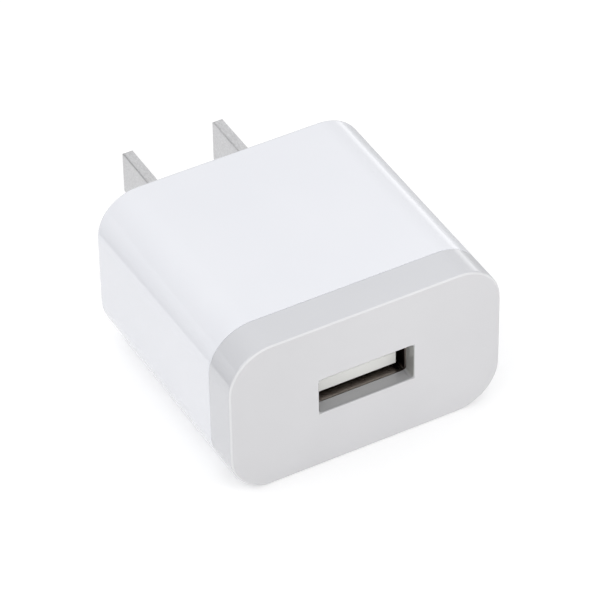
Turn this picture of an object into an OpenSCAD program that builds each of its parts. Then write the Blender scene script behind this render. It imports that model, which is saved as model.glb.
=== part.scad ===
// USB wall charger. A moulded sleeve holds two flat blades in its rear wall, a front cap with a
// USB-A window snaps into the sleeve, and the charging board slides in between them.
// The wall face lies at y = 0 round the origin, the blades point along +Y and the socket faces -Y.

/* [Body] */
// Width of the body
body_w = 36.5; // [33:0.1:42]
// Height of the body
body_h = 21.4; // [19.4:0.1:26]
// Depth of the body, from the wall face to the front face
body_d = 34; // [31:0.1:40]
// Radius of the four long corners
corner_r = 5.8; // [5:0.1:6.2]
// Thickness of the sleeve's side walls
wall = 1.6; // [1.4:0.05:1.7]
// Thickness of the wall that the blades stand in
rear_wall = 2; // [1.6:0.1:2.2]
// Rounding of the rim round the wall face
rear_rim_r = 0.7; // [0.3:0.1:1.2]

/* [Front cap] */
// Depth of the band that shows in front of the sleeve
cap_band = 5; // [4.4:0.1:5.6]
// Thickness of the front wall
front_wall = 1.85; // [1.6:0.05:2.1]
// Rounding of the rim round the front face
front_rim_r = 0.35; // [0.1:0.05:0.8]
// Gap left at the seam between cap and sleeve
seam_gap = 0.03; // [0.02:0.01:0.2]
// Rounding of the two rims that meet at the seam
seam_rim_r = 0.08; // [0.05:0.01:0.3]
// Length of the spigot that enters the sleeve
spigot_len = 2.6; // [2.4:0.1:3.2]
// Wall of the spigot
spigot_wall = 1.1; // [0.9:0.05:1.2]
// Width of a snap lug
lug_w = 6; // [4:0.5:8]
// Height of a snap lug above the spigot
lug_h = 0.4; // [0.2:0.05:0.6]
// Length of a snap lug
lug_len = 1.2; // [0.8:0.1:1.6]
// Distance between the two lugs on one side
lug_spacing = 14; // [10:0.5:16]
// Depth of the collar that locates the socket
collar_len = 1.2; // [0.8:0.1:1.4]
// Wall of the collar
collar_wall = 0.9; // [0.6:0.1:1.2]

/* [Window] */
// Width of the window in the front wall
window_w = 12.8; // [12.6:0.05:13]
// Height of the window
window_h = 5.15; // [5.13:0.01:5.4]
// Corner radius of the window
window_r = 0.5; // [0.3:0.05:0.8]
// Bevel round the window's front edge
window_bevel = 0.12; // [0.05:0.01:0.25]

/* [Blades] */
// Distance between the middles of the blades
blade_pitch = 12.7; // [12.4:0.1:13]
// Width of a blade
blade_w = 6.35; // [6.1:0.05:6.6]
// Thickness of a blade
blade_t = 1.4; // [1.3:0.02:1.65]
// Length of a blade outside the wall face
blade_len = 15.3; // [14:0.1:18.2]
// Rounding of a blade's long edges
blade_edge_r = 0.3; // [0.1:0.05:0.5]
// Corner radius at the ends of a blade
blade_end_r = 0.8; // [0.4:0.1:1.6]
// Length of the bevel at a blade's tip
tip_bevel = 0.2; // [0.2:0.1:1.5]
// Thickness that the bevel leaves at a blade's tip
tip_t = 1.2; // [0.5:0.1:1.2]
// Length of the moulded boss round a blade, inside the rear wall
boss_len = 2.6; // [2.2:0.1:2.8]
// Wall of the boss
boss_wall = 1.2; // [0.8:0.1:1.4]
// Length of the bare stub behind the boss
blade_stub = 0.9; // [0.6:0.1:1.1]
// Length of the notches that lock a blade into its boss
notch_len = 1.2; // [0.8:0.1:1.4]
// Depth of those notches
notch_depth = 0.8; // [0.5:0.1:1.1]

/* [USB socket] */
// Width of the socket's opening
port_w = 12.5; // [12.3:0.05:12.6]
// Height of the socket's opening
port_h = 5.12; // [5:0.02:5.12]
// Sheet thickness of the shell
shell_t = 0.3; // [0.25:0.01:0.35]
// Inner corner radius of the shell
shell_r = 0.3; // [0.2:0.05:0.5]
// Length of the shell
shell_len = 12; // [11.8:0.1:12.2]
// Width of a retention finger in the shell
finger_w = 2; // [1.6:0.1:2.4]
// Length of a retention finger
finger_len = 5; // [4:0.1:6]
// Width of the slot round a finger
finger_slot = 0.35; // [0.25:0.05:0.5]
// Distance between the two fingers on one side
finger_spacing = 5; // [4.5:0.1:6]
// Height of the dimple that a finger grips with
dimple_h = 0.3; // [0.2:0.05:0.35]
// Width of a mounting leg of the shell
leg_w = 2; // [1.6:0.1:2.4]
// Depth of the insulator's rear block
block_len = 2.1; // [1.9:0.1:2.4]
// Width of the tongue
tongue_w = 10.9; // [10.7:0.05:11.2]
// Thickness of the tongue
tongue_t = 1.84; // [1.8:0.01:1.9]
// Gap between the tongue and the shell's floor
tongue_floor_gap = 0.67; // [0.62:0.01:0.72]
// Setback of the tongue's end from the shell's front edge
tongue_setback = 0.75; // [0.6:0.05:1.5]
// Bevel at the tongue's end
tongue_bevel = 0.12; // [0.08:0.02:0.3]

/* [USB contacts] */
// Distance between the two middle contacts
contact_inner = 2; // [1.8:0.1:2.2]
// Distance between the two outer contacts
contact_outer = 7; // [6.6:0.1:7.4]
// Width of a contact spring
contact_w = 1; // [0.8:0.05:1.1]
// Sheet thickness of a contact
contact_t = 0.2; // [0.15:0.01:0.22]
// Height of a contact's crown above the tongue
contact_lift = 0.35; // [0.25:0.05:0.4]
// Radius of a contact's crown
crown_r = 1.25; // [0.8:0.05:1.4]
// Distance from the crown to the contact's end
tip_reach = 1.6; // [1.4:0.1:1.8]
// Gap between a contact's end and the front of its groove
contact_end_gap = 1; // [0.8:0.1:1.4]
// Depth of a contact's bend below the tongue's top
bend_depth = 0.4; // [0.35:0.05:0.45]
// Radius of the rolled bend that a contact flexes about
bend_r = 0.25; // [0.2:0.01:0.28]
// Depth of the grooves that the contacts sink into
groove_depth = 1.12; // [1.1:0.01:1.2]
// Length of solid tongue in front of the grooves
groove_lip = 0.7; // [0.5:0.1:0.8]
// Width of a contact's solder tail
tail_w = 0.6; // [0.5:0.05:0.7]

/* [Board] */
// Thickness of the board
board_t = 1.2; // [1:0.1:1.6]
// Depth of the rails that guide the board
rail_depth = 1.2; // [1:0.1:1.2]
// Thickness of a rail's lip
rail_t = 0.9; // [0.7:0.1:1.2]
// Diameter of the component leads
lead_d = 0.6; // [0.5:0.05:0.7]
// Length of lead that stands out of the board
lead_out = 0.9; // [0.6:0.1:1.4]
// Sheet thickness of a blade spring
spring_t = 0.25; // [0.2:0.01:0.3]
// Width of a blade spring
spring_w = 2.4; // [1.8:0.1:2.4]
// Length of a blade spring's foot on the board
spring_foot = 2.3; // [1.6:0.1:2.6]
// Depth of the gap between the blade stub and the board
board_end_gap = 0.5; // [0.4:0.05:0.6]

/* [Transformer] */
// Thickness of the core
core_t = 6; // [5.4:0.1:6.6]
// Width of the centre leg
core_leg = 2.75; // [2.5:0.05:2.9]
// Width of a side leg
core_side = 1.5; // [1.3:0.05:1.6]
// Thickness of the core's back
core_back = 1.4; // [1.3:0.05:1.6]
// Gap between the two core halves
core_gap = 0.1; // [0.05:0.05:0.2]
// Wall of the bobbin
bobbin_wall = 0.6; // [0.5:0.05:0.7]
// Gap between the bobbin's flanges and the sleeve
flange_low_gap = 0.95; // [0.5:0.05:1.2]
// Gap between the bobbin's flanges and the board
flange_top_gap = 0.8; // [0.5:0.05:1]
// Height of the flanges above the wound coil
flange_lip = 0.3; // [0.2:0.05:0.4]
// Corner radius of the wound coil
winding_r = 1.2; // [0.8:0.1:1.6]
// Distance between neighbouring pins
pin_pitch = 2.5; // [2.3:0.1:2.54]

/* [Components] */
// Gap between an input capacitor's end and the sleeve
can_end_gap = 1.5; // [1.1:0.1:3]
// Gap on either side of an input capacitor
lane_gap = 0.45; // [0.3:0.05:0.6]
// Lead spacing of an input capacitor
input_cap_pitch = 3.5; // [3:0.1:4]
// Diameter of an output capacitor
output_cap_d = 6.3; // [6:0.1:6.4]
// Length of an output capacitor
output_cap_len = 8; // [7:0.1:9]
// Lead spacing of an output capacitor
output_cap_pitch = 2.5; // [2:0.1:3]
// Gap on either side of the disc capacitor
disc_gap = 0.95; // [0.7:0.05:1.2]
// Thickness of the disc capacitor
disc_t = 3.4; // [2.6:0.1:3.6]
// Rounding of the disc capacitor's rim
disc_rim = 1; // [0.6:0.1:1.2]
// Diameter of the line inductor
inductor_d = 6; // [5:0.1:6.1]
// Height of the line inductor
inductor_h = 8; // [6:0.1:9]
// Thickness of the inductor's flanges
inductor_flange = 0.9; // [0.6:0.1:1.2]
// Diameter of the inductor's waist
inductor_waist_d = 2.8; // [2.2:0.1:3.2]
// Lead spacing of the inductor
inductor_pitch = 3; // [2.5:0.1:4]
// Diameter of the fusible resistor
resistor_d = 2.4; // [1.8:0.1:2.5]
// Body length of the bridge rectifier
bridge_l = 4.7; // [4.2:0.1:5]
// Body width of the bridge rectifier
bridge_w = 3.9; // [3.6:0.1:4.2]
// Height of the bridge rectifier
bridge_h = 2.4; // [2:0.1:2.6]
// Width of the bridge rectifier over its leads
bridge_span = 6.6; // [6:0.1:6.8]
// Lead spacing of the bridge rectifier
bridge_pitch = 2.5; // [2.3:0.1:2.7]
// Lead width of the bridge rectifier
bridge_lead = 0.7; // [0.5:0.1:0.8]
// Body length of the controller chip
controller_l = 4.9; // [4.7:0.1:5]
// Body width of the controller chip
controller_w = 3.9; // [3.6:0.1:4.2]
// Height of the controller chip
controller_h = 1.5; // [1.3:0.1:1.7]
// Width of the controller chip over its leads
controller_span = 6; // [5.6:0.1:6.2]
// Lead spacing of the controller chip
controller_pitch = 1.27; // [1.2:0.01:1.3]
// Lead width of the controller chip
controller_lead = 0.4; // [0.3:0.05:0.5]
// Body width of the output diode
diode_w = 2.6; // [2.2:0.1:2.8]
// Body length of the output diode
diode_l = 4.3; // [4:0.1:4.5]
// Height of the output diode
diode_h = 2.2; // [2:0.1:2.4]
// Length of the output diode over its leads
diode_span = 5.2; // [4.8:0.1:5.4]
// Lead width of the output diode
diode_lead = 1.5; // [1.3:0.1:1.7]
// Body width of the clamp diode
clamp_w = 1.6; // [1.4:0.1:1.8]
// Body length of the clamp diode
clamp_l = 2.7; // [2.4:0.1:2.9]
// Height of the clamp diode
clamp_h = 1.1; // [0.9:0.1:1.3]
// Length of the clamp diode over its leads
clamp_span = 3.7; // [3.4:0.1:3.9]
// Lead width of the clamp diode
clamp_lead = 0.6; // [0.5:0.1:0.8]
// Length of a chip part
chip_l = 2; // [1.6:0.1:2]
// Width of a chip part
chip_w = 1.25; // [0.8:0.05:1.3]
// Height of a chip resistor's body
chip_h = 0.45; // [0.35:0.05:0.6]
// Thickness of the metal on a chip part's ends
chip_skin = 0.04; // [0.02:0.01:0.08]

/* [Clearances] */
// Gap between pieces that push together
fit_gap = 0.1; // [0.06:0.01:0.14]
// Gap round a blade in its moulding
blade_gap = 0.03; // [0.02:0.01:0.05]
// Gap between a contact spring and the walls of its groove
groove_gap = 0.1; // [0.08:0.01:0.15]
// Gap round pins and tails that are pressed in
seat_gap = 0.05; // [0.03:0.01:0.08]
// Gap round a lead in its hole in the board
hole_gap = 0.15; // [0.1:0.01:0.2]
// Least gap between neighbouring components
part_gap = 0.35; // [0.2:0.05:0.4]

/* [Hidden] */
$fn = 64;
// Overrun of a cut past the face that it opens
cut = 1;
// Left and right
sides = [-1, 1];

// The hollow inside the sleeve
inner_w = body_w - 2 * wall;
inner_h = body_h - 2 * wall;
inner_r = corner_r - wall;

// The cap, from the front face back to the end of its spigot
front_y = -body_d;
cap_back_y = front_y + front_wall;
seam_y = front_y + cap_band;
spigot_rear_y = seam_y + spigot_len;
spigot_w = inner_w - 2 * fit_gap;
spigot_h = inner_h - 2 * fit_gap;
spigot_r = inner_r - fit_gap;
cap_inner_w = spigot_w - 2 * spigot_wall;
cap_inner_h = spigot_h - 2 * spigot_wall;
cap_inner_r = spigot_r - spigot_wall;
lug_y = spigot_rear_y - lug_len - 2 * fit_gap;
lug_flat = lug_len / 4;

// The socket, seated behind the front wall
shell_w = port_w + 2 * shell_t;
shell_h = port_h + 2 * shell_t;
shell_outer_r = shell_r + shell_t;
shell_front_y = cap_back_y + fit_gap;
shell_rear_y = shell_front_y + shell_len;
socket_floor_y = shell_rear_y - block_len;
tongue_front_y = shell_front_y + tongue_setback;
tongue_low_z = tongue_floor_gap - port_h / 2;
tongue_top_z = tongue_low_z + tongue_t;
finger_root_y = socket_floor_y - 2 * part_gap;
leg_y = (shell_front_y + shell_rear_y) / 2;

// A contact flexes about the bend at its root and sinks into the tongue
bend_y = socket_floor_y - bend_r - groove_gap;
bend_z = tongue_top_z - bend_depth;
groove_front_y = tongue_front_y + groove_lip;
contact_end_y = groove_front_y + contact_end_gap;
crown_y = contact_end_y + tip_reach;
crown_z = tongue_top_z + contact_lift - contact_t / 2;
tail_front_y = bend_y + bend_r + groove_gap;
contact_places = [-contact_outer / 2, -contact_inner / 2, contact_inner / 2, contact_outer / 2];
tail_drop_y = shell_rear_y + part_gap + contact_t / 2;

// The blades, moulded into the rear wall
blade_end_y = -rear_wall - boss_len - blade_stub;
notch_y = -rear_wall - (boss_len + notch_len) / 2;
spring_leg_y = blade_end_y - 3 * spring_t;
spring_in_x = (blade_pitch - blade_t) / 2;

// The board lies on the socket's shell and in the sleeve's rails
board_low_z = shell_h / 2;
board_top_z = board_low_z + board_t;
board_front_y = cap_back_y + collar_len + fit_gap;
board_rear_y = blade_end_y - board_end_gap;
board_step_y = spigot_rear_y + 2 * fit_gap;
board_w = inner_w - 4 * fit_gap;
board_nose_w = cap_inner_w - 4 * fit_gap;
rail_x = inner_w / 2 - rail_depth;

// The transformer hangs under the board and fills the room between the socket and the blade springs
core_w = shell_w - fit_gap;
core_front_y = tail_drop_y + contact_t / 2 + part_gap;
core_rear_y = spring_leg_y - spring_t / 2 - part_gap;
core_mid_y = (core_front_y + core_rear_y) / 2;
core_half = (core_rear_y - core_front_y - core_gap) / 2;
flange_low_z = flange_low_gap - inner_h / 2;
flange_top_z = board_low_z - flange_top_gap;
flange_h = flange_top_z - flange_low_z;
core_z = (flange_low_z + flange_top_z) / 2;
pin_rail_h = board_low_z - fit_gap - core_t / 2 - core_z;
core_window_len = 2 * (core_half - core_back) + core_gap;
core_window_w = core_w - 2 * core_side;
bobbin_len = core_window_len - 2 * fit_gap;
flange_w = core_window_w - 4 * fit_gap;
tube_w = core_leg + 2 * fit_gap + 2 * bobbin_wall;
tube_h = core_t + 2 * fit_gap + 2 * bobbin_wall;
winding_w = flange_w - 2 * fit_gap;
winding_h = flange_h - 2 * flange_lip;
pin_places = [for (i = [-1.5 : 1.5]) i * pin_pitch];
pin_rail_w = 3 * pin_pitch + 3 * lead_d;
pin_rows = [core_front_y + (core_back + fit_gap) / 2, core_rear_y - (core_back + fit_gap) / 2];

// Components stand in two lanes beside the socket and the transformer, from the front edge back
lane_in_x = shell_w / 2;
lane_x = (lane_in_x + rail_x) / 2;
output_cap_x = cap_inner_w / 2 - part_gap - output_cap_d / 2;
output_cap_y = board_front_y + part_gap / 2 + output_cap_d / 2;
inductor_y = output_cap_y + output_cap_d / 2 + part_gap + inductor_d / 2;
disc_y = inductor_y;
disc_d = rail_x - lane_in_x - 2 * disc_gap;
disc_pitch = disc_d - 2 * disc_rim;
resistor_y = board_rear_y - resistor_d / 2 - part_gap / 2;
resistor_z = board_low_z - part_gap - resistor_d / 2;
resistor_in_x = spring_in_x + spring_w + part_gap + lead_d / 2;
resistor_out_x = rail_x - part_gap - lead_d / 2;
resistor_x = -(resistor_in_x + resistor_out_x) / 2;
resistor_pitch = resistor_out_x - resistor_in_x;
resistor_len = resistor_pitch - 2 * lead_d;
chip_row_x = pin_rail_w / 2 + chip_l + part_gap;

// An input capacitor is as large as its lane and the rounded corner below it allow
can_corner_x = inner_w / 2 - inner_r + sqrt(can_end_gap * (2 * inner_r - can_end_gap));
can_out_x = min(rail_x, can_corner_x);
can_front_y = inductor_y + inductor_d / 2 + part_gap;
can_rear_y = resistor_y - resistor_d / 2 - part_gap;
input_cap_d = min(can_out_x - lane_in_x - 2 * lane_gap, can_rear_y - can_front_y);
input_cap_len = board_low_z + inner_h / 2 - can_end_gap;
input_cap_x = (lane_in_x + can_out_x) / 2;
input_cap_y = can_front_y + input_cap_d / 2;

// Places of the leads on the board, for the leads themselves and for their holes
function lead_pair(x, y, dx, dy) = [[x - dx / 2, y - dy / 2], [x + dx / 2, y + dy / 2]];
function input_cap_leads(side) = lead_pair(side * input_cap_x, input_cap_y, input_cap_pitch, 0);
function output_cap_leads(side) = lead_pair(side * output_cap_x, output_cap_y, 0, output_cap_pitch);
disc_leads = lead_pair(-lane_x, disc_y, disc_pitch, 0);
inductor_leads = lead_pair(lane_x, inductor_y, inductor_pitch, 0);
resistor_leads = lead_pair(resistor_x, resistor_y, resistor_pitch, 0);
pin_leads = [for (y = pin_rows, x = pin_places) [x, y]];
tail_leads = [for (x = contact_places) [x, tail_drop_y]];
board_leads = concat(input_cap_leads(-1), input_cap_leads(1), output_cap_leads(-1),
  output_cap_leads(1), disc_leads, inductor_leads, resistor_leads, pin_leads, tail_leads);

// Paths in the plane of a sheet-metal strip
function unit(v) = v / norm(v);
function turn_left(v) = [-v[1], v[0]];
function turn_by(v, a) = [v[0] * cos(a) - v[1] * sin(a), v[0] * sin(a) + v[1] * cos(a)];
// The arc of radius r that rounds the corner b of a path from a to c
function bend_arc(a, b, c, r, steps = 5) = let (
    u = unit(a - b),
    v = unit(c - b),
    open = acos(u * v),
    start = b + u * r / tan(open / 2),
    middle = b + unit(u + v) * r / sin(open / 2),
    sweep = (cross(u, v) > 0 ? -1 : 1) * (180 - open)
  ) [for (i = [0 : steps]) middle + turn_by(start - middle, sweep * i / steps)];
function bent_path(p, r) = concat([p[0]],
  [for (i = [1 : len(p) - 2]) each bend_arc(p[i - 1], p[i], p[i + 1], r)], [p[len(p) - 1]]);
// The path moved to its left by d, with mitred corners
function beside_path(p, d) = [for (i = [0 : len(p) - 1]) let (
    before = i > 0 ? unit(p[i] - p[i - 1]) : unit(p[1] - p[0]),
    after = i < len(p) - 1 ? unit(p[i + 1] - p[i]) : before,
    way = turn_left(unit(before + after))
  ) p[i] + way * d / (way * turn_left(before))];
function strip_outline(p, t) = let (
    left = beside_path(p, t / 2),
    right = beside_path(p, -t / 2)
  ) concat(left, [for (i = [len(right) - 1 : -1 : 0]) right[i]]);

// Turns an upright shape so that it lies along Y
module along_y() {
  rotate([-90, 0, 0]) children();
}

// Extrudes a profile drawn in Y and Z along X, centred on x = 0
module along_x(width) {
  rotate([90, 0, 90]) linear_extrude(width, center = true) children();
}

module quarter_disc(r) {
  intersection() {
    circle(r);
    square(r);
  }
}

module round_rect(w, h, r) {
  square([w - 2 * r, h], center = true);
  for (half = [0, 180]) {
    rotate(half) {
      translate([w / 2 - r, r - h / 2]) square([r, h - 2 * r]);
      translate([w / 2 - r, h / 2 - r]) quarter_disc(r);
      translate([w / 2 - r, r - h / 2]) rotate(-90) quarter_disc(r);
    }
  }
}

// A strip from the axis out to reach, its two outer corners rounded by rim0 and rim1
module rim_profile(reach, low, high, rim0, rim1) {
  translate([0, low + rim0]) square([reach, high - low - rim0 - rim1]);
  if (rim0 > 0) {
    translate([0, low]) square([reach - rim0, rim0]);
    translate([reach - rim0, low + rim0]) rotate(-90) quarter_disc(rim0);
  }
  if (rim1 > 0) {
    translate([0, high - rim1]) square([reach - rim1, rim1]);
    translate([reach - rim1, high - rim1]) quarter_disc(rim1);
  }
}

// Sweeps an edge profile round a rounded rectangle that stands across Y
module rounded_sweep(w, h, r) {
  along_y() {
    for (side = [0 : 3]) {
      across = side % 2 == 0 ? w : h;
      along = side % 2 == 0 ? h : w;
      rotate(90 * side) {
        translate([across / 2 - r, along / 2 - r, 0]) {
          rotate([90, 0, 0]) linear_extrude(along - 2 * r) children();
          rotate_extrude(angle = 90) children();
        }
      }
    }
  }
}

// A bar with rounded corners from y0 to y1
module rounded_bar(w, h, r, y0, y1) {
  along_y() translate([0, 0, y0]) linear_extrude(y1 - y0) round_rect(w, h, r);
}

// The same with its front and rear rims rounded
module rounded_block(w, h, r, y0, y1, rim0, rim1) {
  translate([r - w / 2, y0, r - h / 2]) cube([w - 2 * r, y1 - y0, h - 2 * r]);
  rounded_sweep(w, h, r) rim_profile(r, y0, y1, rim0, rim1);
}

// The sleeve with its board rails, blade bosses and lug recesses
module housing() {
  color("white") difference() {
    union() {
      difference() {
        rounded_block(body_w, body_h, corner_r, seam_y + seam_gap, 0, seam_rim_r, rear_rim_r);
        rounded_bar(inner_w, inner_h, inner_r, seam_y - cut, -rear_wall);
      }
      for (side = sides) {
        board_rail(side);
        blade_boss(side);
      }
    }
    for (side = sides) {
      blade_place(side) blade_bar(blade_gap);
    }
    for (side = sides, level = sides) {
      lug_place(side, level) lug_recess();
    }
  }
}

// A right-hand shape on its own side, or its mirror image on the left
module mirrored(side) {
  if (side < 0) {
    mirror([1, 0, 0]) children();
  } else {
    children();
  }
}

// Two lips and an end stop on the sleeve's side wall
module board_rail(side) {
  rail_front_y = spigot_rear_y + fit_gap;
  rail_w = rail_depth + wall / 2;
  rail_rear_y = -rear_wall / 2;
  stop_y = board_rear_y + fit_gap;
  lip_z = [board_low_z - fit_gap - rail_t, board_top_z + fit_gap];
  mirrored(side) translate([rail_x, 0, 0]) {
    for (z = lip_z) {
      translate([0, rail_front_y, z]) cube([rail_w, rail_rear_y - rail_front_y, rail_t]);
    }
    translate([0, stop_y, lip_z[0] + rail_t / 2])
      cube([rail_w, rail_rear_y - stop_y, board_t + 2 * fit_gap + rail_t]);
  }
}

module blade_boss(side) {
  blade_place(side)
    rounded_bar(blade_t + 2 * boss_wall, blade_w + 2 * boss_wall, boss_wall / 2,
      -rear_wall - boss_len, -rear_wall / 2);
}

module lug_place(side, level) {
  flip = level < 0 ? 180 : 0;
  rotate([0, flip, 0]) translate([side * lug_spacing / 2, lug_y, spigot_h / 2]) children();
}

module lug_recess() {
  translate([0, lug_len / 2, 0])
    cube([lug_w + 2 * fit_gap, lug_len + 2 * fit_gap, 2 * (lug_h + fit_gap)], center = true);
}

// A snap lug with a steep catch in front and a ramp behind
module lug() {
  along_x(lug_w)
    polygon([[0, -spigot_wall / 2], [lug_len, -spigot_wall / 2], [lug_len, 0], [lug_flat, lug_h],
      [0, lug_h]]);
}

// The band and the front wall, the spigot with its lugs, and the collar round the socket
module front_cap() {
  color("gainsboro") difference() {
    union() {
      difference() {
        union() {
          rounded_block(body_w, body_h, corner_r, front_y, seam_y, front_rim_r, seam_rim_r);
          rounded_bar(spigot_w, spigot_h, spigot_r, seam_y - seam_rim_r - cap_band / 4, spigot_rear_y);
        }
        rounded_bar(cap_inner_w, cap_inner_h, cap_inner_r, cap_back_y, spigot_rear_y + cut);
      }
      rounded_bar(shell_w + 2 * (fit_gap + collar_wall), shell_h + 2 * (fit_gap + collar_wall),
        shell_outer_r + collar_wall, cap_back_y - front_wall / 2, cap_back_y + collar_len);
      for (side = sides, level = sides) {
        lug_place(side, level) lug();
      }
    }
    rounded_bar(shell_w + 2 * fit_gap, shell_h + 2 * fit_gap, shell_outer_r + fit_gap, cap_back_y,
      cap_back_y + collar_len + cut);
    rounded_bar(window_w, window_h, window_r, front_y - cut, cap_back_y + cut);
    rounded_sweep(window_w, window_h, window_r)
      polygon([[0, front_y - window_bevel], [window_r + 2 * window_bevel, front_y - window_bevel],
        [window_r, front_y + window_bevel], [0, front_y + window_bevel]]);
  }
}

module blade_place(side) {
  translate([side * blade_pitch / 2, 0, 0]) children();
}

// A blade's broad side, drawn in Y and Z, with the notches that the boss fills
module blade_outline(grow) {
  length = blade_len - blade_end_y;
  difference() {
    translate([(blade_len + blade_end_y) / 2, 0])
      round_rect(length + 2 * grow, blade_w + 2 * grow, blade_end_r + grow);
    for (edge = [0, 180]) {
      rotate(edge)
        translate([(edge == 0 ? notch_y : -notch_y - notch_len) + grow, blade_w / 2 - notch_depth + grow])
          square([notch_len - 2 * grow, notch_depth + cut]);
    }
  }
}

// The bar that a blade is cut from, with rounded long edges
module blade_bar(grow) {
  thick = blade_t + 2 * grow;
  intersection() {
    along_x(thick) blade_outline(grow);
    rounded_bar(thick, blade_w + 2 * grow, blade_edge_r + grow, blade_end_y - cut, blade_len + cut);
  }
}

// A blade with its bevelled tip
module blade(side) {
  color("silver") blade_place(side) intersection() {
    blade_bar(0);
    linear_extrude(2 * blade_w, center = true)
      polygon([[-blade_t / 2, blade_end_y - cut], [blade_t / 2, blade_end_y - cut],
        [blade_t / 2, blade_len - tip_bevel], [tip_t / 2, blade_len],
        [-tip_t / 2, blade_len], [-blade_t / 2, blade_len - tip_bevel]]);
  }
}

module left_blade() {
  blade(-1);
}

module right_blade() {
  blade(1);
}

// A bowed strip from the board down to the end of a blade
module blade_spring(side) {
  foot_z = board_low_z - spring_t / 2;
  bow_y = blade_end_y - seat_gap - spring_t / 2;
  path = [[spring_leg_y - spring_foot, foot_z], [spring_leg_y, foot_z], [spring_leg_y, blade_w / 4],
    [bow_y, 0], [spring_leg_y, -3 * blade_w / 8]];
  color("goldenrod") translate([side * (spring_in_x + spring_w / 2), 0, 0])
    along_x(spring_w) polygon(strip_outline(bent_path(path, spring_t), spring_t));
}

module left_blade_spring() {
  blade_spring(-1);
}

module right_blade_spring() {
  blade_spring(1);
}

// The board, narrower in front where it enters the cap, with its drilled holes and leg slots
module main_board() {
  color("darkgreen") difference() {
    translate([0, 0, board_low_z]) linear_extrude(board_t) {
      translate([-board_w / 2, board_step_y]) square([board_w, board_rear_y - board_step_y]);
      translate([-board_nose_w / 2, board_front_y])
        square([board_nose_w, board_step_y - board_front_y + fit_gap]);
    }
    for (place = board_leads) {
      translate([place[0], place[1], board_low_z - cut])
        cylinder(h = board_t + 2 * cut, d = lead_d + 2 * hole_gap);
    }
    for (side = sides) {
      translate([side * (shell_w - shell_t) / 2, leg_y, board_low_z + board_t / 2])
        cube([shell_t + 2 * hole_gap, leg_w + 2 * hole_gap, board_t + 2 * cut], center = true);
    }
  }
}

// The folded sheet shell with four retention fingers and two mounting legs
module usb_shell() {
  color("darkgray") {
    difference() {
      rounded_bar(shell_w, shell_h, shell_outer_r, shell_front_y, shell_rear_y);
      rounded_bar(port_w, port_h, shell_r, shell_front_y - cut, shell_rear_y + cut);
      for (side = sides, level = sides) {
        finger_place(side, level) finger_cut();
      }
    }
    for (side = sides, level = sides) {
      finger_place(side, level) finger_dimple();
    }
    for (side = sides) {
      translate([side * (shell_w - shell_t) / 2, leg_y, (board_top_z + lead_out) / 2])
        cube([shell_t, leg_w, board_top_z + lead_out], center = true);
    }
  }
}

module finger_place(side, level) {
  flip = level < 0 ? 180 : 0;
  rotate([0, flip, 0]) translate([side * finger_spacing / 2, finger_root_y, port_h / 2]) children();
}

// The U-shaped slot that frees a finger on three sides
module finger_cut() {
  span = finger_w + 2 * finger_slot;
  difference() {
    translate([-span / 2, -finger_len - finger_slot, -shell_t])
      cube([span, finger_len + finger_slot, 3 * shell_t]);
    translate([-finger_w / 2, -finger_len, -2 * shell_t])
      cube([finger_w, finger_len + cut, 5 * shell_t]);
  }
}

// The round dimple pressed into a finger's free end
module finger_dimple() {
  dimple_r = finger_w / 2;
  translate([0, dimple_r - finger_len, 0]) rotate([0, 90, 0]) intersection() {
    translate([dimple_h - dimple_r, 0, 0]) rotate([0, 90, 0])
      rotate_extrude() quarter_disc(dimple_r);
    translate([dimple_h / 2 - shell_t / 4, 0, 0])
      cube([dimple_h + shell_t / 2, 2 * dimple_r, 2 * dimple_r], center = true);
  }
}

// The rear block and the tongue, with a groove and a tail slot for each contact
module usb_insulator() {
  tongue_root_y = socket_floor_y + block_len / 2;
  groove_w = contact_w + 2 * groove_gap;
  groove_rear_y = bend_y + bend_r + groove_gap;
  color("whitesmoke") difference() {
    union() {
      rounded_bar(port_w - 2 * seat_gap, port_h - 2 * seat_gap, shell_r, socket_floor_y, shell_rear_y);
      along_x(tongue_w)
        polygon([[tongue_front_y + tongue_bevel, tongue_low_z], [tongue_root_y, tongue_low_z],
          [tongue_root_y, tongue_top_z], [tongue_front_y + tongue_bevel, tongue_top_z],
          [tongue_front_y, tongue_top_z - tongue_bevel], [tongue_front_y, tongue_low_z + tongue_bevel]]);
    }
    for (x = contact_places) {
      translate([x - groove_w / 2, groove_front_y, tongue_top_z - groove_depth])
        cube([groove_w, groove_rear_y - groove_front_y, groove_depth + cut]);
      translate([x, shell_rear_y - block_len / 2, bend_z])
        cube([tail_w + 2 * seat_gap, block_len + 2 * cut, contact_t + 2 * seat_gap], center = true);
    }
  }
}

// A contact spring with its rolled bend, its crown and its dipped end
module usb_contact(number) {
  path = [[bend_y, bend_z], [crown_y, crown_z], [contact_end_y, bend_z]];
  color("gold") translate([contact_places[number - 1], 0, 0]) {
    along_x(contact_w) polygon(strip_outline(bent_path(path, crown_r), contact_t));
    translate([0, bend_y, bend_z]) rotate([0, 90, 0]) cylinder(h = contact_w, r = bend_r, center = true);
  }
}

module usb_contact_1() {
  usb_contact(1);
}

module usb_contact_2() {
  usb_contact(2);
}

module usb_contact_3() {
  usb_contact(3);
}

module usb_contact_4() {
  usb_contact(4);
}

// The fixed ends of the contacts, through the rear block and up into the board
module usb_contact_tails() {
  path = [[tail_front_y, bend_z], [tail_drop_y, bend_z], [tail_drop_y, board_top_z + lead_out]];
  color("gold") for (x = contact_places) {
    translate([x, 0, 0]) along_x(tail_w)
      polygon(strip_outline(bent_path(path, contact_t), contact_t));
  }
}

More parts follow.
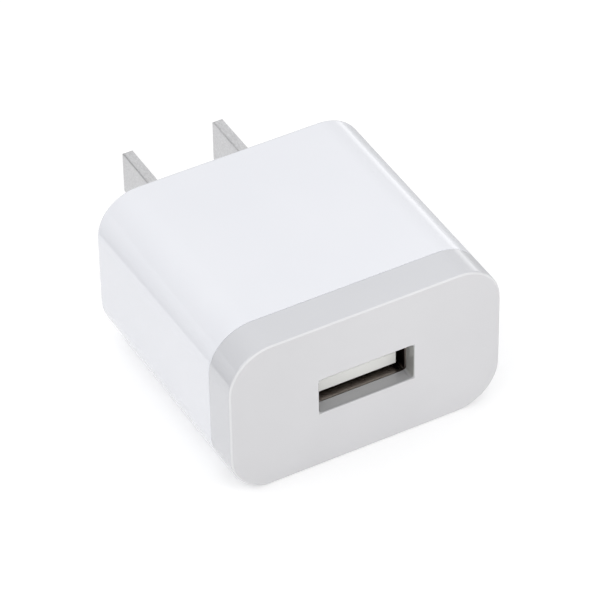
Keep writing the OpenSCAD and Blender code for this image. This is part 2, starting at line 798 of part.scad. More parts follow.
// One E-shaped core half, its legs pointing along +Y from its back
module core_shape() {
  translate([0, 0, core_z - core_t / 2]) linear_extrude(core_t) {
    translate([-core_w / 2, 0]) square([core_w, core_back]);
    translate([-core_leg / 2, 0]) square([core_leg, core_half]);
    for (side = sides) {
      translate([side * (core_w - core_side) / 2 - core_side / 2, 0]) square([core_side, core_half]);
    }
  }
}

module transformer_core_front() {
  color("dimgray") translate([0, core_front_y, 0]) core_shape();
}

module transformer_core_rear() {
  color("dimgray") translate([0, core_rear_y, 0]) mirror([0, 1, 0]) core_shape();
}

// The coil former: a tube, two flanges and the two pin rails that stand on the board
module transformer_bobbin() {
  rail_low_z = core_z + core_t / 2 + fit_gap;
  flange_y = [core_mid_y - bobbin_len / 2, core_mid_y + bobbin_len / 2 - bobbin_wall];
  rail_y = [core_front_y, flange_y[1]];
  rail_len = flange_y[0] + bobbin_wall - core_front_y;
  color("saddlebrown") difference() {
    union() {
      translate([0, core_mid_y, core_z]) {
        rounded_bar(tube_w, tube_h, bobbin_wall, -bobbin_len / 2, bobbin_len / 2);
      }
      for (i = [0, 1]) {
        translate([0, flange_y[i], core_z]) rounded_bar(flange_w, flange_h, bobbin_wall, 0, bobbin_wall);
        translate([-pin_rail_w / 2, rail_y[i], rail_low_z])
          cube([pin_rail_w, rail_len, board_low_z - rail_low_z]);
      }
    }
    translate([0, core_mid_y, core_z])
      cube([core_leg + 2 * fit_gap, bobbin_len + 2 * cut, core_t + 2 * fit_gap], center = true);
    for (place = pin_leads) {
      translate([place[0], place[1], board_low_z - pin_rail_h / 2])
        cylinder(h = pin_rail_h, d = lead_d + 2 * seat_gap);
    }
  }
}

// The taped coil between the flanges
module transformer_winding() {
  winding_len = bobbin_len - 2 * bobbin_wall - 2 * seat_gap;
  color("gold") translate([0, core_mid_y, core_z]) along_y() translate([0, 0, -winding_len / 2])
    linear_extrude(winding_len) difference() {
      round_rect(winding_w, winding_h, winding_r);
      square([tube_w + 2 * seat_gap, tube_h + 2 * seat_gap], center = true);
    }
}

module transformer_pins() {
  pin_low_z = board_low_z - pin_rail_h / 2 + seat_gap;
  color("silver") for (place = pin_leads) {
    translate([place[0], place[1], pin_low_z]) cylinder(h = board_top_z + lead_out - pin_low_z, d = lead_d);
  }
}

// Leads from a component's body up through the board
module leads(places, low_z) {
  for (place = places) {
    translate([place[0], place[1], low_z]) cylinder(h = board_top_z + lead_out - low_z, d = lead_d);
  }
}

// An electrolytic can hanging from the board, with its crimp bead and scored end
module can(x, y, d, length) {
  bead_r = d / 16;
  score_w = d / 32;
  difference() {
    translate([x, y, board_low_z - length]) rotate_extrude() difference() {
      rim_profile(d / 2, 0, length, bead_r, bead_r);
      translate([d / 2 + bead_r / 2, length - 4 * bead_r]) circle(bead_r);
    }
    for (turn = [0, 90]) {
      translate([x, y, board_low_z - length]) rotate(turn) cube([d / 2, score_w, score_w], center = true);
    }
  }
}

module input_capacitor(side) {
  color("midnightblue") {
    can(side * input_cap_x, input_cap_y, input_cap_d, input_cap_len);
    leads(input_cap_leads(side), board_low_z - lead_d);
  }
}

module output_capacitor(side) {
  color("darkslategray") {
    can(side * output_cap_x, output_cap_y, output_cap_d, output_cap_len);
    leads(output_cap_leads(side), board_low_z - lead_d);
  }
}

module left_input_capacitor() {
  input_capacitor(-1);
}

module right_input_capacitor() {
  input_capacitor(1);
}

module left_output_capacitor() {
  output_capacitor(-1);
}

module right_output_capacitor() {
  output_capacitor(1);
}

// A coated ceramic disc standing on edge under the board
module disc_capacitor() {
  disc_z = board_low_z - part_gap - disc_d / 2;
  color("steelblue") {
    translate([-lane_x, disc_y, disc_z]) along_y() rotate_extrude()
      rim_profile(disc_d / 2, -disc_t / 2, disc_t / 2, disc_rim, disc_rim);
    leads(disc_leads, disc_z);
  }
}

// A ferrite drum: two flanges on a waist
module line_inductor_core() {
  color("dimgray") {
    translate([lane_x, inductor_y, board_low_z - inductor_h]) {
      cylinder(h = inductor_h, d = inductor_waist_d);
      for (z = [0, inductor_h - inductor_flange]) {
        translate([0, 0, z]) cylinder(h = inductor_flange, d = inductor_d);
      }
    }
    leads(inductor_leads, board_low_z - inductor_flange / 2);
  }
}

module line_inductor_winding() {
  coil_h = inductor_h - 2 * inductor_flange - 2 * seat_gap;
  color("peru") translate([lane_x, inductor_y, board_low_z - inductor_h / 2]) difference() {
    cylinder(h = coil_h, d = inductor_d - 2 * inductor_flange, center = true);
    cylinder(h = coil_h + cut, d = inductor_waist_d + 2 * seat_gap, center = true);
  }
}

// A dog-bone resistor lying along X with both leads bent up into the board
module fusible_resistor() {
  cap_len = resistor_len / 5;
  color("cadetblue") {
    translate([resistor_x, resistor_y, resistor_z]) rotate([0, 90, 0]) {
      cylinder(h = resistor_len, d = resistor_d - lead_d / 2, center = true);
      cylinder(h = resistor_pitch, d = lead_d, center = true);
      for (end = sides) {
        translate([0, 0, end * (resistor_len - cap_len) / 2])
          cylinder(h = cap_len, d = resistor_d, center = true);
        translate([0, 0, end * resistor_pitch / 2]) sphere(d = lead_d);
      }
    }
    leads(resistor_leads, resistor_z);
  }
}

// A moulded package on the board's upper side, with bent leads along its two long sides
module package(l, w, h, span, foot_w, lead_count = 1, pitch = 0) {
  sheet = h / 10;
  mid = h / 2;
  slope = h / 12;
  knee = (w + span) / 4;
  along_x(l) polygon([[-w / 2 + slope, sheet / 2], [w / 2 - slope, sheet / 2], [w / 2, mid],
    [w / 2 - slope, h], [-w / 2 + slope, h], [-w / 2, mid]]);
  for (side = sides, i = [0 : lead_count - 1]) {
    path = [[w / 4, mid], [knee, mid], [knee, sheet / 2], [span / 2, sheet / 2]];
    turn = side < 0 ? 180 : 0;
    rotate(turn) translate([(i - (lead_count - 1) / 2) * pitch, 0, 0])
      along_x(foot_w) polygon(strip_outline(path, sheet));
  }
}

// The bridge stands over the board's rear right corner
module bridge_rectifier() {
  bridge_x = rail_x - part_gap - bridge_span / 2;
  bridge_y = board_rear_y - part_gap - bridge_l / 2;
  color("black") translate([bridge_x, bridge_y, board_top_z]) rotate(90)
    package(bridge_l, bridge_w, bridge_h, bridge_span, bridge_lead, lead_count = 2, pitch = bridge_pitch);
}

// The switching controller sits between the transformer's two pin rows
module controller_chip() {
  color("black") translate([0, core_mid_y, board_top_z])
    package(controller_l, controller_w, controller_h, controller_span, controller_lead, lead_count = 4,
      pitch = controller_pitch);
}

// The output diode sits over the socket
module output_diode() {
  color("black") translate([0, leg_y, board_top_z]) rotate(90)
    package(diode_w, diode_l, diode_h, diode_span, diode_lead);
}

// The clamp diode sits beside the transformer's front pin row
module clamp_diode() {
  color("black") translate([-chip_row_x, pin_rows[0], board_top_z]) rotate(90)
    package(clamp_w, clamp_l, clamp_h, clamp_span, clamp_lead);
}

// A chip part standing across the board: a body between two metal ends
module chip(x, y, h) {
  end_len = chip_l / 5;
  translate([x, y, board_top_z + chip_skin]) {
    translate([0, 0, h / 2]) cube([chip_w - 2 * chip_skin, chip_l - end_len, h], center = true);
    for (end = sides) {
      translate([0, end * (chip_l - end_len) / 2, h / 2])
        cube([chip_w, end_len, h + 2 * chip_skin], center = true);
    }
  }
}

module chip_resistors() {
  row_y = leg_y - (diode_w + chip_l) / 2 - part_gap;
  color("dimgray") {
    for (i = [-1 : 1]) {
      chip(2 * i * chip_w, row_y, chip_h);
    }
    for (side = sides) {
      chip(side * (controller_l / 2 + chip_l), core_mid_y, chip_h);
    }
  }
}

module chip_capacitors() {
  color("burlywood") {
    for (side = sides) {
      chip(side * (diode_span / 2 + part_gap + chip_w), leg_y, 2 * chip_h);
    }
    chip(chip_row_x, pin_rows[0], 2 * chip_h);
  }
}

housing();
front_cap();
left_blade();
right_blade();
left_blade_spring();
right_blade_spring();
main_board();
usb_shell();
usb_insulator();
usb_contact_1();
usb_contact_2();
usb_contact_3();
usb_contact_4();
usb_contact_tails();
transformer_core_front();
transformer_core_rear();
transformer_bobbin();
transformer_winding();
transformer_pins();
left_input_capacitor();
right_input_capacitor();
left_output_capacitor();
right_output_capacitor();
disc_capacitor();
line_inductor_core();
line_inductor_winding();
fusible_resistor();
bridge_rectifier();
controller_chip();
output_diode();
clamp_diode();
chip_resistors();
chip_capacitors();
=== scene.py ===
"""Looks of the USB wall charger: finishes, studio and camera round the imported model.

Lengths are in metres. The wall face lies at y = 0, the blades point along +Y and the socket faces -Y.
"""
import math

import bpy
from mathutils import Matrix, Vector


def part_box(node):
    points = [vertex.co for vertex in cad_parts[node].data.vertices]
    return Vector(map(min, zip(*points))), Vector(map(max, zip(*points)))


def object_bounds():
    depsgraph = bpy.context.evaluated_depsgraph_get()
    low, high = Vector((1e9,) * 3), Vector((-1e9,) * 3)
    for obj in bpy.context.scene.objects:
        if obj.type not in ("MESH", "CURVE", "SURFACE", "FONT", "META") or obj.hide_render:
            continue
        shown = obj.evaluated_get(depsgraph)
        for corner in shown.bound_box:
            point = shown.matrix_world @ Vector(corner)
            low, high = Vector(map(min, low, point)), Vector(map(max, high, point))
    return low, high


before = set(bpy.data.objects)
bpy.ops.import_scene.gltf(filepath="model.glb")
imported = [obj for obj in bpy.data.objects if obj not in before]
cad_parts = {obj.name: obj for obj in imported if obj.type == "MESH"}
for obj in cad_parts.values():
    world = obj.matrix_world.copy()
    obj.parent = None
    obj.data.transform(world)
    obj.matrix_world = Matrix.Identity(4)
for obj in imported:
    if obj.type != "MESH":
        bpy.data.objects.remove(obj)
cad_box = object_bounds()
scene = bpy.context.scene
MM = 0.001
X, Y, Z = range(3)


# Camera: where the photographer stood, and the frame of the picture

IMAGE_SIDE = 600
SENSOR_WIDTH = 36.0
VIEW_AZIMUTH = math.radians(-28.301)
VIEW_ELEVATION = math.radians(40.444)
VIEW_ROLL = math.radians(-1.063)
VIEW_DISTANCE = 487.5 * MM
NEAREST_SEEN = 10 * MM
PIXELS_PER_METRE = 8.311 / MM
# Where the middle of the body stands in the picture, in pixels from the picture's own middle
BODY_MIDDLE_RIGHT = -3.03
BODY_MIDDLE_UP = 1.82


def body_middle():
    """The middle of the sleeve and the cap together, without the blades."""
    low, high = (Vector(corner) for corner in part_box("housing"))
    front = Vector(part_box("front_cap")[0]).y
    return Vector(((low.x + high.x) / 2, (front + high.y) / 2, (low.z + high.z) / 2))


def direction(azimuth, elevation):
    """The way out from the body to a place round it: azimuth 0 is the front."""
    flat = math.cos(elevation)
    return Vector((math.sin(azimuth) * flat, -math.cos(azimuth) * flat, math.sin(elevation)))


def add_camera():
    """The camera of the photo, as fitted to the outline of the part."""
    back = direction(VIEW_AZIMUTH, VIEW_ELEVATION)
    level_right = Vector((math.cos(VIEW_AZIMUTH), math.sin(VIEW_AZIMUTH), 0))
    level_up = back.cross(level_right)
    right = level_right * math.cos(VIEW_ROLL) + level_up * math.sin(VIEW_ROLL)
    up = back.cross(right)
    aim = body_middle() - (right * BODY_MIDDLE_RIGHT + up * BODY_MIDDLE_UP) / PIXELS_PER_METRE
    data = bpy.data.cameras.new("camera")
    data.sensor_width = SENSOR_WIDTH
    data.lens = PIXELS_PER_METRE * VIEW_DISTANCE * SENSOR_WIDTH / IMAGE_SIDE
    data.clip_start = NEAREST_SEEN
    camera = bpy.data.objects.new("camera", data)
    axes = Matrix((right, up, back)).transposed().to_4x4()
    camera.matrix_world = Matrix.Translation(aim + back * VIEW_DISTANCE) @ axes
    scene.collection.objects.link(camera)
    scene.camera = camera


# Node trees: what all finishes are made with

WHITE = (1, 1, 1, 1)
REFRACTION = 1.5
# Nearly all of a noise lies between these two values
NOISE_LOW = 0.3
NOISE_HIGH = 0.7
# How far a normal has turned to the left or right where a wall starts and is a full side wall
SIDE_WALL = (0.5, 0.9)
# Numbers of the Mix node's sockets: its factor, its two numbers and its two colours
MIX_FACTOR = 0
MIX_NUMBERS = (2, 3)
MIX_COLOURS = (6, 7)
MIX_NUMBER_OUT = 0
MIX_COLOUR_OUT = 2


def is_socket(value):
    return isinstance(value, bpy.types.NodeSocket)


def opaque(colour):
    """A colour with its alpha, or a socket as it is."""
    return colour if is_socket(colour) else (*colour, 1)


class Finish:
    """A material with a node tree round a Principled shader, in the part's own coordinates."""

    def __init__(self, name, metallic=0.0):
        self.material = bpy.data.materials.new(name)
        self.material.use_nodes = True
        self.tree = self.material.node_tree
        self.shader = self.tree.nodes["Principled BSDF"]
        self.settle("Metallic", metallic)
        self.settle("IOR", REFRACTION)
        coords = self.tree.nodes.new("ShaderNodeTexCoord")
        self.place = coords.outputs["Object"]
        self.normal = coords.outputs["Normal"]

    def settle(self, socket, value):
        """Gives one of the shader's sockets a constant."""
        self.shader.inputs[socket].default_value = value

    def drive(self, socket, value):
        """Links a node's output to one of the shader's sockets."""
        self.tree.links.new(value, self.shader.inputs[socket])

    def node(self, kind, inputs=None, **settings):
        made = self.tree.nodes.new(kind)
        for key, value in settings.items():
            setattr(made, key, value)
        for key, value in (inputs or {}).items():
            if is_socket(value):
                self.tree.links.new(value, made.inputs[key])
            else:
                made.inputs[key].default_value = value
        return made

    def noise(self, size, stretch=(1, 1, 1), detail=2.0):
        """Noise whose patches are about size across, longer by stretch along each axis."""
        scale = [1 / (size * factor) for factor in stretch]
        scaled = self.node("ShaderNodeMapping", {"Vector": self.place, "Scale": scale})
        made = self.node("ShaderNodeTexNoise",
                         {"Vector": scaled.outputs["Vector"], "Scale": 1.0, "Detail": detail})
        return made.outputs["Fac"]

    def spread(self, value, low, high, start=NOISE_LOW, end=NOISE_HIGH):
        """Maps a value from start and end to low and high, and holds it there past the ends."""
        made = self.node("ShaderNodeMapRange", {"Value": value, "From Min": start, "From Max": end,
                                                "To Min": low, "To Max": high})
        return made.outputs["Result"]

    def mask(self, value, start, end):
        """0 before the start, 1 past the end."""
        return self.spread(value, 0, 1, start, end)

    def reckon(self, operation, first, second=0):
        return self.node("ShaderNodeMath", {0: first, 1: second}, operation=operation).outputs[0]

    def axis(self, vector, index):
        return self.node("ShaderNodeSeparateXYZ", {"Vector": vector}).outputs[index]

    def blend(self, factor, first, second):
        """The first colour where the factor is 0, the second where it is 1."""
        first_key, second_key = MIX_COLOURS
        inputs = {MIX_FACTOR: factor, first_key: opaque(first), second_key: opaque(second)}
        return self.node("ShaderNodeMix", inputs, data_type="RGBA").outputs[MIX_COLOUR_OUT]

    def blend_numbers(self, factor, first, second):
        first_key, second_key = MIX_NUMBERS
        inputs = {MIX_FACTOR: factor, first_key: first, second_key: second}
        return self.node("ShaderNodeMix", inputs, data_type="FLOAT").outputs[MIX_NUMBER_OUT]

    def drift(self, size, first, second):
        """A colour that drifts between two, in soft patches about size across."""
        return self.blend(self.spread(self.noise(size), 0, 1), first, second)

    def within(self, axis, half, fade):
        """1 up to half on either side of the middle along an axis, 0 from a fade further out."""
        offset = self.reckon("ABSOLUTE", self.axis(self.place, axis))
        return self.mask(offset, half + fade, half)

    def side_wall(self):
        """1 on walls that face left or right."""
        turned = self.reckon("ABSOLUTE", self.axis(self.normal, X))
        return self.mask(turned, *SIDE_WALL)

    def bump(self, height, depth, strength):
        inputs = {"Height": height, "Distance": depth, "Strength": strength}
        return self.node("ShaderNodeBump", inputs).outputs["Normal"]

    def glow(self, strength):
        """White light of the surface's own, by a node's output."""
        self.settle("Emission Color", WHITE)
        self.drive("Emission Strength", strength)


# Plastics

SKIN_PATCH = 14 * MM
GLOSS_PATCH = 3 * MM
PEEL_SIZE = 2.2 * MM
PEEL_DEPTH = 0.008 * MM
PEEL_STRENGTH = 0.12

CAP_SPECULAR = 0.7
CAP_BAND_GLOSS = (0.08, 0.12)
CAP_FACE_GLOSS = (0.40, 0.46)
CAP_FACE_PATCH = 9 * MM
CAP_GRAIN_SIZE = 0.16 * MM
CAP_GRAIN_DEPTH = 0.012 * MM
CAP_GRAIN_STRENGTH = 0.35
# The y of the cap's normal where the front face starts and is full, and likewise both sides of the rim,
# which is painted paler as a highlight
FRONT_FACE = (-0.80, -0.98)
RIM_OUTSIDE = (-0.40, -0.62)
RIM_INSIDE = (-0.90, -0.985)
# The walls of the window, which are painted darker than the face as shade: half their width and height,
# and their fade
SHADED_WALL_HALF_WIDTH = 6.45 * MM
SHADED_WALL_HALF_HEIGHT = 2.63 * MM
SHADED_WALL_FADE = 0.05 * MM


def moulded(name, pale, dark, gloss, ripple=PEEL_DEPTH, patch=SKIN_PATCH):
    """Moulded plastic: slight cloudiness in the colour and a faint orange peel on the skin."""
    finish = Finish(name)
    finish.drive("Base Color", finish.drift(patch, dark, pale))
    finish.drive("Roughness", finish.spread(finish.noise(GLOSS_PATCH), *gloss))
    finish.drive("Normal", finish.bump(finish.noise(PEEL_SIZE), ripple, PEEL_STRENGTH))
    return finish


def cap_colour(finish, front, rim_highlight):
    """The cap's grey: band, rim and face outside, with the rim painted paler as a highlight, and the walls
    of the window painted darker as shade.
    """
    band = finish.drift(SKIN_PATCH, (0.638, 0.644, 0.672), (0.656, 0.662, 0.690))
    face = finish.drift(CAP_FACE_PATCH, (0.654, 0.652, 0.668), (0.670, 0.668, 0.684))
    # The pale rim colour is a painted highlight: a bright line along the rounded edge between band and
    # face.
    outside = finish.blend(rim_highlight, finish.blend(front, band, face), (0.78, 0.78, 0.795))
    # Painted shade: the window's walls are darker than the cap outside, and its side walls darker still.
    window_wall_shade = finish.blend(finish.side_wall(), (0.455, 0.455, 0.465), (0.395, 0.395, 0.38))
    in_width = finish.within(X, SHADED_WALL_HALF_WIDTH, SHADED_WALL_FADE)
    in_height = finish.within(Z, SHADED_WALL_HALF_HEIGHT, SHADED_WALL_FADE)
    return finish.blend(finish.reckon("MULTIPLY", in_width, in_height), outside, window_wall_shade)


def cap_grey():
    """The cap: a glossy band, a rim painted paler as a highlight, a satin and finely grained face, and the
    walls of the window painted darker as shade.
    """
    finish = Finish("cap_grey")
    finish.settle("Specular IOR Level", CAP_SPECULAR)
    facing = finish.axis(finish.normal, Y)
    front = finish.mask(facing, *FRONT_FACE)
    past_band = finish.mask(facing, *RIM_OUTSIDE)
    before_face = finish.reckon("SUBTRACT", 1.0, finish.mask(facing, *RIM_INSIDE))
    rim_highlight = finish.reckon("MULTIPLY", past_band, before_face)
    finish.drive("Base Color", cap_colour(finish, front, rim_highlight))
    patches = finish.noise(GLOSS_PATCH)
    glossy = finish.spread(patches, *CAP_BAND_GLOSS)
    satin = finish.spread(patches, *CAP_FACE_GLOSS)
    finish.drive("Roughness", finish.blend_numbers(front, glossy, satin))
    grain = finish.reckon("MULTIPLY", finish.noise(CAP_GRAIN_SIZE, detail=3), front)
    finish.drive("Normal", finish.bump(grain, CAP_GRAIN_DEPTH, CAP_GRAIN_STRENGTH))
    return finish


# Metals, the board and the windings

STREAK_SIZE = 0.12 * MM
STREAK_DEPTH = 0.004 * MM
STREAK_STRENGTH = 0.25
METAL_CLOUD = 2.5 * MM
# How far behind the shell's mouth the painted shade starts and is full
INNER_SHADE_START = 0.70 * MM
INNER_SHADE_FULL = 1.45 * MM

BOARD_CELL = 2.4 * MM
BOARD_TRACK = 0.06
BOARD_GLOSS = (0.38, 0.52)
BOARD_GLOSS_PATCH = 1.5 * MM
WEAVE_SIZE = 0.4 * MM
WEAVE_DEPTH = 0.02 * MM
WEAVE_STRENGTH = 0.3

WINDING_GLOSS = (0.28, 0.40)
WINDING_GLOSS_PATCH = 1.2 * MM
WINDING_STRENGTH = 0.5
# The depth of a winding's relief as a share of one turn
WINDING_RELIEF = 0.25
TAPE_TURN = 2.6 * MM
WIRE_TURN = 0.25 * MM


def plated(name, pale, dark, gloss, along=(1, 12, 1), metallic=1.0, cloudy=0.4):
    """Plated sheet metal with drawing streaks, over a share of larger clouds."""
    finish = Finish(name, metallic=metallic)
    streaks = finish.noise(STREAK_SIZE, along, detail=4)
    streak_share = finish.reckon("MULTIPLY", streaks, 1 - cloudy)
    cloud_share = finish.reckon("MULTIPLY", finish.noise(METAL_CLOUD), cloudy)
    mixed = finish.reckon("ADD", streak_share, cloud_share)
    finish.drive("Base Color", finish.blend(finish.spread(mixed, 0, 1), dark, pale))
    finish.drive("Roughness", finish.spread(mixed, *gloss))
    finish.drive("Normal", finish.bump(streaks, STREAK_DEPTH, STREAK_STRENGTH))
    return finish


def shell_steel():
    """Tinned shell: bright at the mouth, with shade painted nearly black on the side walls and deeper
    inside.
    """
    finish = plated("shell_steel", pale=(0.52, 0.47, 0.43), dark=(0.40, 0.35, 0.32), gloss=(0.25, 0.36))
    mouth = Vector(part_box("usb_shell")[0]).y
    deep = finish.mask(finish.axis(finish.place, Y), mouth + INNER_SHADE_START, mouth + INNER_SHADE_FULL)
    painted_shade = finish.reckon("MAXIMUM", deep, finish.side_wall())
    bright = finish.shader.inputs["Base Color"].links[0].from_socket
    # Painted shade: the shell goes nearly black on the side walls and from a little behind the mouth
    # inwards.
    finish.drive("Base Color", finish.blend(painted_shade, bright, (0.085, 0.070, 0.060)))
    return finish


def board_green():
    """Glass-cloth board under green mask: weave, and a faint pattern of tracks."""
    finish = Finish("board_green")
    cells = finish.node("ShaderNodeTexBrick",
                        {"Vector": finish.place,
                         "Scale": 1 / BOARD_CELL,
                         "Mortar Size": BOARD_TRACK,
                         "Color1": opaque((0.012, 0.09, 0.035)),
                         "Color2": opaque((0.02, 0.13, 0.05)),
                         "Mortar": opaque((0.03, 0.19, 0.075))})
    finish.drive("Base Color", cells.outputs["Color"])
    finish.drive("Roughness", finish.spread(finish.noise(BOARD_GLOSS_PATCH), *BOARD_GLOSS))
    finish.drive("Normal", finish.bump(finish.noise(WEAVE_SIZE), WEAVE_DEPTH, WEAVE_STRENGTH))
    return finish


def wound(name, pale, dark, turn, axis):
    """Wire or tape laid in turns along one axis."""
    finish = Finish(name)
    along = finish.axis(finish.place, axis)
    turns = finish.reckon("SINE", finish.reckon("MULTIPLY", along, 2 * math.pi / turn))
    finish.drive("Base Color", finish.blend(finish.mask(turns, -1, 1), dark, pale))
    finish.drive("Roughness", finish.spread(finish.noise(WINDING_GLOSS_PATCH), *WINDING_GLOSS))
    finish.drive("Normal", finish.bump(turns, turn * WINDING_RELIEF, WINDING_STRENGTH))
    return finish


# What each node is made of

def dress(nodes, finish):
    for node in nodes:
        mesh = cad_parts[node].data
        mesh.materials.clear()
        mesh.materials.append(finish.material)


# Outside: sleeve, cap and blades
dress(["housing"],
      moulded("sleeve_white", pale=(0.843, 0.853, 0.896), dark=(0.825, 0.837, 0.882), gloss=(0.07, 0.11)))
dress(["front_cap"], cap_grey())
dress(["left_blade", "right_blade"],
      plated("blade_nickel", pale=(0.71, 0.71, 0.72), dark=(0.53, 0.53, 0.54), gloss=(0.34, 0.44),
             along=(1.5, 3, 1.5), cloudy=0.15))

# USB socket
dress(["usb_shell"], shell_steel())
dress(["usb_insulator"],
      moulded("tongue_white", pale=(0.88, 0.88, 0.855), dark=(0.85, 0.85, 0.825), gloss=(0.30, 0.38)))
dress(["usb_contact_1", "usb_contact_2", "usb_contact_3", "usb_contact_4", "usb_contact_tails"],
      plated("contact_gold", pale=(0.92, 0.70, 0.32), dark=(0.80, 0.58, 0.24), gloss=(0.30, 0.42),
             metallic=0.6))

# Board and the strips that touch the blades
dress(["main_board"], board_green())
dress(["left_blade_spring", "right_blade_spring"],
      plated("spring_brass", pale=(0.78, 0.58, 0.26), dark=(0.66, 0.47, 0.20), gloss=(0.28, 0.40)))

# Transformer and line inductor
dress(["transformer_pins"],
      plated("pin_tin", pale=(0.72, 0.72, 0.72), dark=(0.58, 0.58, 0.58), gloss=(0.35, 0.50),
             along=(1, 1, 12)))
dress(["transformer_core_front", "transformer_core_rear", "line_inductor_core"],
      moulded("ferrite_grey", pale=(0.055, 0.055, 0.058), dark=(0.035, 0.035, 0.037), gloss=(0.50, 0.65),
              ripple=0.08 * MM, patch=2 * MM))
dress(["transformer_bobbin"],
      moulded("bobbin_black", pale=(0.03, 0.03, 0.032), dark=(0.018, 0.018, 0.02), gloss=(0.35, 0.45)))
dress(["transformer_winding"],
      wound("winding_tape", pale=(0.86, 0.66, 0.10), dark=(0.72, 0.52, 0.06), turn=TAPE_TURN, axis=Y))
dress(["line_inductor_winding"],
      wound("winding_copper", pale=(0.62, 0.25, 0.09), dark=(0.32, 0.11, 0.04), turn=WIRE_TURN, axis=Z))

# Capacitors and resistor
dress(["left_input_capacitor", "right_input_capacitor"],
      moulded("can_blue", pale=(0.035, 0.045, 0.11), dark=(0.025, 0.032, 0.085), gloss=(0.25, 0.34)))
dress(["left_output_capacitor", "right_output_capacitor"],
      moulded("can_green", pale=(0.04, 0.085, 0.075), dark=(0.028, 0.065, 0.055), gloss=(0.25, 0.34)))
dress(["disc_capacitor"],
      moulded("disc_blue", pale=(0.06, 0.20, 0.42), dark=(0.045, 0.16, 0.35), gloss=(0.30, 0.42),
              ripple=0.1 * MM))
dress(["fusible_resistor"],
      moulded("resistor_green", pale=(0.16, 0.30, 0.27), dark=(0.12, 0.24, 0.21), gloss=(0.40, 0.55),
              ripple=0.1 * MM))

# Chips and diodes
dress(["bridge_rectifier", "controller_chip", "output_diode", "clamp_diode"],
      moulded("package_black", pale=(0.028, 0.028, 0.03), dark=(0.02, 0.02, 0.022), gloss=(0.45, 0.60),
              ripple=0.05 * MM, patch=1 * MM))
dress(["chip_resistors"],
      moulded("chip_black", pale=(0.04, 0.04, 0.045), dark=(0.03, 0.03, 0.032), gloss=(0.40, 0.50),
              patch=1 * MM))
dress(["chip_capacitors"],
      moulded("chip_tan", pale=(0.42, 0.28, 0.15), dark=(0.34, 0.22, 0.11), gloss=(0.40, 0.50),
              patch=1 * MM))


# Studio: a white floor, a dim room with soft panels, two lamps, and a flag and a card that paint
# reflections into the gloss

FLOOR_SIDE = 1.6
# The floor lies a hair below the body, so that the two share no face
FLOOR_GAP = 0.02 * MM
FLOOR_GLOW = 0.22
FLOOR_ROUGHNESS = 0.5
FLOOR_SPECULAR = 0.2
FLOOR_PATCH = 90 * MM
ROOM_LEVEL = 0.23
# Each soft panel: its direction, the cosine at which it has faded out, and its strength
SOFT_PANELS = {
    "dome": ((0.00, 0.00, 1.00), 0.00, 0.27),
    "overhead": ((0.00, 0.00, 1.00), 0.80, 0.20),
    "front": ((0.10, -1.00, 0.25), 0.60, 0.48),
    "front_low": ((0.05, -1.00, 0.12), 0.85, 0.33),
    "front_high": ((0.05, -0.80, 0.60), 0.75, 0.15),
    "front_left": ((-0.65, -0.65, 0.60), 0.60, 0.50),
    "back": ((0.00, 1.00, 0.10), 0.60, 0.23),
    "back_high": ((0.30, 0.60, 0.70), 0.60, 0.53),
    "left_low": ((-0.90, -0.40, 0.15), 0.80, 0.22),
    "right_low": ((0.74, 0.67, 0.00), 0.88, 0.55),
    "right_line": ((0.74, 0.67, 0.00), 0.97, 1.15),
}
# A flag that darkens the gloss of the rounded left corners: its size and its place round the body
FLAG_LENGTH = 80 * MM
FLAG_HEIGHT = 27 * MM
FLAG_DISTANCE = 52 * MM
FLAG_AZIMUTH = math.radians(-122.6)
# How bright the flag's glow has become at its top edge: the glow paints a reflection from dark at the foot
# to bright at the top
FLAG_GLOW = 0.78
# A grey card just above the floor, which paints the body's shadow on the floor into the gloss of the right
# and rear edges: its lift, its left end, its gap to the body and its reach past it
CARD_LIFT = 0.3 * MM
CARD_LEFT = 10 * MM
CARD_GAP = 2 * MM
CARD_REACH = 110 * MM
# How bright the card's glow has become at its front end, to end about as bright as the floor: the painted
# reflection is darkest by the body and behind it
CARD_GLOW = 0.54
# The roughness of felt and card
MATT = (0.8, 0.9)


def add_sheet(name, corners, finish):
    """One flat face with a finish."""
    mesh = bpy.data.meshes.new(name)
    mesh.from_pydata(corners, [], [list(range(len(corners)))])
    mesh.materials.append(finish.material)
    sheet = bpy.data.objects.new(name, mesh)
    scene.collection.objects.link(sheet)
    return sheet


def show_only_in_gloss(sheet):
    """The camera doesn't see the sheet, and it neither lights nor shades anything."""
    sheet.visible_camera = False
    sheet.visible_diffuse = False
    sheet.visible_shadow = False
    sheet.visible_transmission = False


def add_floor():
    """A white floor, with a glow that shows to the camera and in gloss but lights nothing."""
    finish = Finish("floor_white")
    finish.settle("Roughness", FLOOR_ROUGHNESS)
    finish.settle("Specular IOR Level", FLOOR_SPECULAR)
    finish.drive("Base Color", finish.drift(FLOOR_PATCH, (0.90, 0.90, 0.90), (0.92, 0.92, 0.92)))
    rays = finish.node("ShaderNodeLightPath").outputs
    seen = finish.reckon("MAXIMUM", rays["Is Camera Ray"], rays["Is Glossy Ray"])
    seen = finish.reckon("MAXIMUM", seen, rays["Is Transmission Ray"])
    finish.glow(finish.reckon("MULTIPLY", seen, FLOOR_GLOW))
    half = FLOOR_SIDE / 2
    level = cad_box[0][Z] - FLOOR_GAP
    corners = [(-half, -half, level), (half, -half, level), (half, half, level), (-half, half, level)]
    floor = add_sheet("floor", corners, finish)


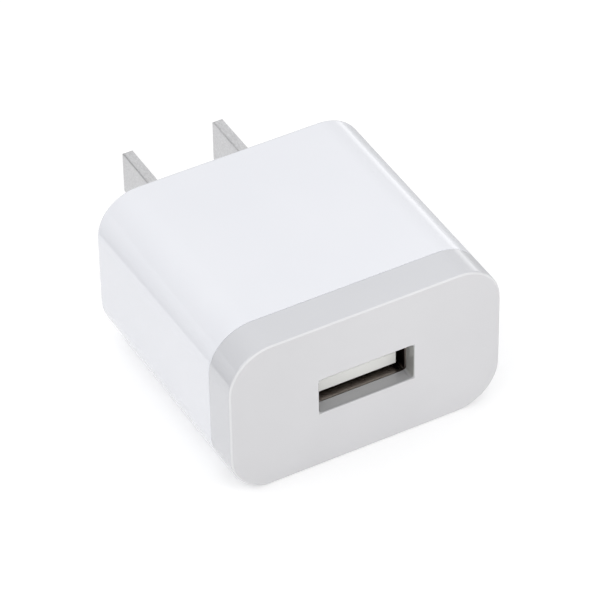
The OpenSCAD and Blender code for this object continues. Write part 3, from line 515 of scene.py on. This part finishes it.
def add_flag():
    """An upright dark flag on the left, which only gloss shows; its glow paints a reflection that runs
    from dark at its foot to bright at its top.
    """
    out = direction(FLAG_AZIMUTH, 0)
    along = Vector((-out.y, out.x, 0)) * FLAG_LENGTH / 2
    rise = Vector((0, 0, FLAG_HEIGHT))
    foot = body_middle() + out * FLAG_DISTANCE
    foot.z = cad_box[0][Z]
    finish = moulded("flag_painted_reflection", pale=(0.03, 0.03, 0.03), dark=(0.02, 0.02, 0.02), gloss=MATT)
    height = finish.axis(finish.place, Z)
    # Painted reflection: the flag glows from nothing at its foot to FLAG_GLOW at its top.
    finish.glow(finish.spread(height, 0, FLAG_GLOW, foot.z, foot.z + FLAG_HEIGHT))
    corners = [foot - along, foot + along, foot + along + rise, foot - along + rise]
    flag = add_sheet("flag", corners, finish)
    show_only_in_gloss(flag)


def add_shadow_reflection_card():
    """An L-shaped card low on the right and behind, which only gloss shows: a painted reflection of the
    body's shadow on the floor, darker by the body and brighter towards its front end.
    """
    low, high = (Vector(corner) for corner in cad_box)
    level = low.z + CARD_LIFT
    inner = high.x + CARD_GAP
    right = high.x + CARD_REACH
    near = low.y - CARD_REACH
    far = high.y + CARD_REACH
    finish = moulded("shadow_reflection_grey", pale=(0.64, 0.64, 0.64), dark=(0.60, 0.60, 0.60), gloss=MATT)
    along = finish.axis(finish.place, Y)
    # The glow paints the reflected shadow lighter towards the card's front end.
    finish.glow(finish.spread(along, 0, CARD_GLOW, low.y, near))
    corners = [(CARD_LEFT, CARD_GAP, level), (inner, CARD_GAP, level), (inner, near, level),
               (right, near, level), (right, far, level), (CARD_LEFT, far, level)]
    card = add_sheet("shadow_reflection_card", corners, finish)
    show_only_in_gloss(card)


def add_surround():
    """A dim room with large soft panels: each one is brightest along its own direction."""
    world = bpy.data.worlds.new("surround")
    world.use_nodes = True
    tree = world.node_tree
    background = tree.nodes["Background"]
    background.inputs["Color"].default_value = WHITE
    way = tree.nodes.new("ShaderNodeTexCoord").outputs["Generated"]
    level = None
    for axis, edge, strength in SOFT_PANELS.values():
        toward = tree.nodes.new("ShaderNodeVectorMath")
        toward.operation = "DOT_PRODUCT"
        tree.links.new(way, toward.inputs[0])
        toward.inputs[1].default_value = Vector(axis).normalized()
        fade = tree.nodes.new("ShaderNodeMapRange")
        tree.links.new(toward.outputs["Value"], fade.inputs["Value"])
        fade.inputs["From Min"].default_value = edge
        fade.inputs["To Min"].default_value = 0.0
        fade.inputs["To Max"].default_value = strength
        total = tree.nodes.new("ShaderNodeMath")
        total.inputs[0].default_value = ROOM_LEVEL
        if level:
            tree.links.new(level, total.inputs[0])
        tree.links.new(fade.outputs["Result"], total.inputs[1])
        level = total.outputs[0]
    tree.links.new(level, background.inputs["Strength"])
    scene.world = world


def add_soft_box(name, azimuth, elevation, distance, side, radiance, seen_in_gloss):
    """A square lamp that faces the body, with its brightness as seen from the body."""
    way = direction(math.radians(azimuth), math.radians(elevation))
    data = bpy.data.lights.new(name, "AREA")
    data.shape = "SQUARE"
    data.size = side
    data.energy = radiance * math.pi * side * side
    lamp = bpy.data.objects.new(name, data)
    facing = way.to_track_quat("Z", "Y").to_matrix().to_4x4()
    lamp.matrix_world = Matrix.Translation(body_middle() + way * distance) @ facing
    lamp.visible_glossy = seen_in_gloss
    scene.collection.objects.link(lamp)


add_camera()
add_floor()
add_surround()
add_soft_box("key", azimuth=-112, elevation=42, distance=0.55, side=0.36, radiance=1.8, seen_in_gloss=True)
add_soft_box("fill", azimuth=30, elevation=30, distance=0.15, side=0.08, radiance=1.8, seen_in_gloss=False)
add_flag()
add_shadow_reflection_card()
scene.view_settings.view_transform = "Standard"
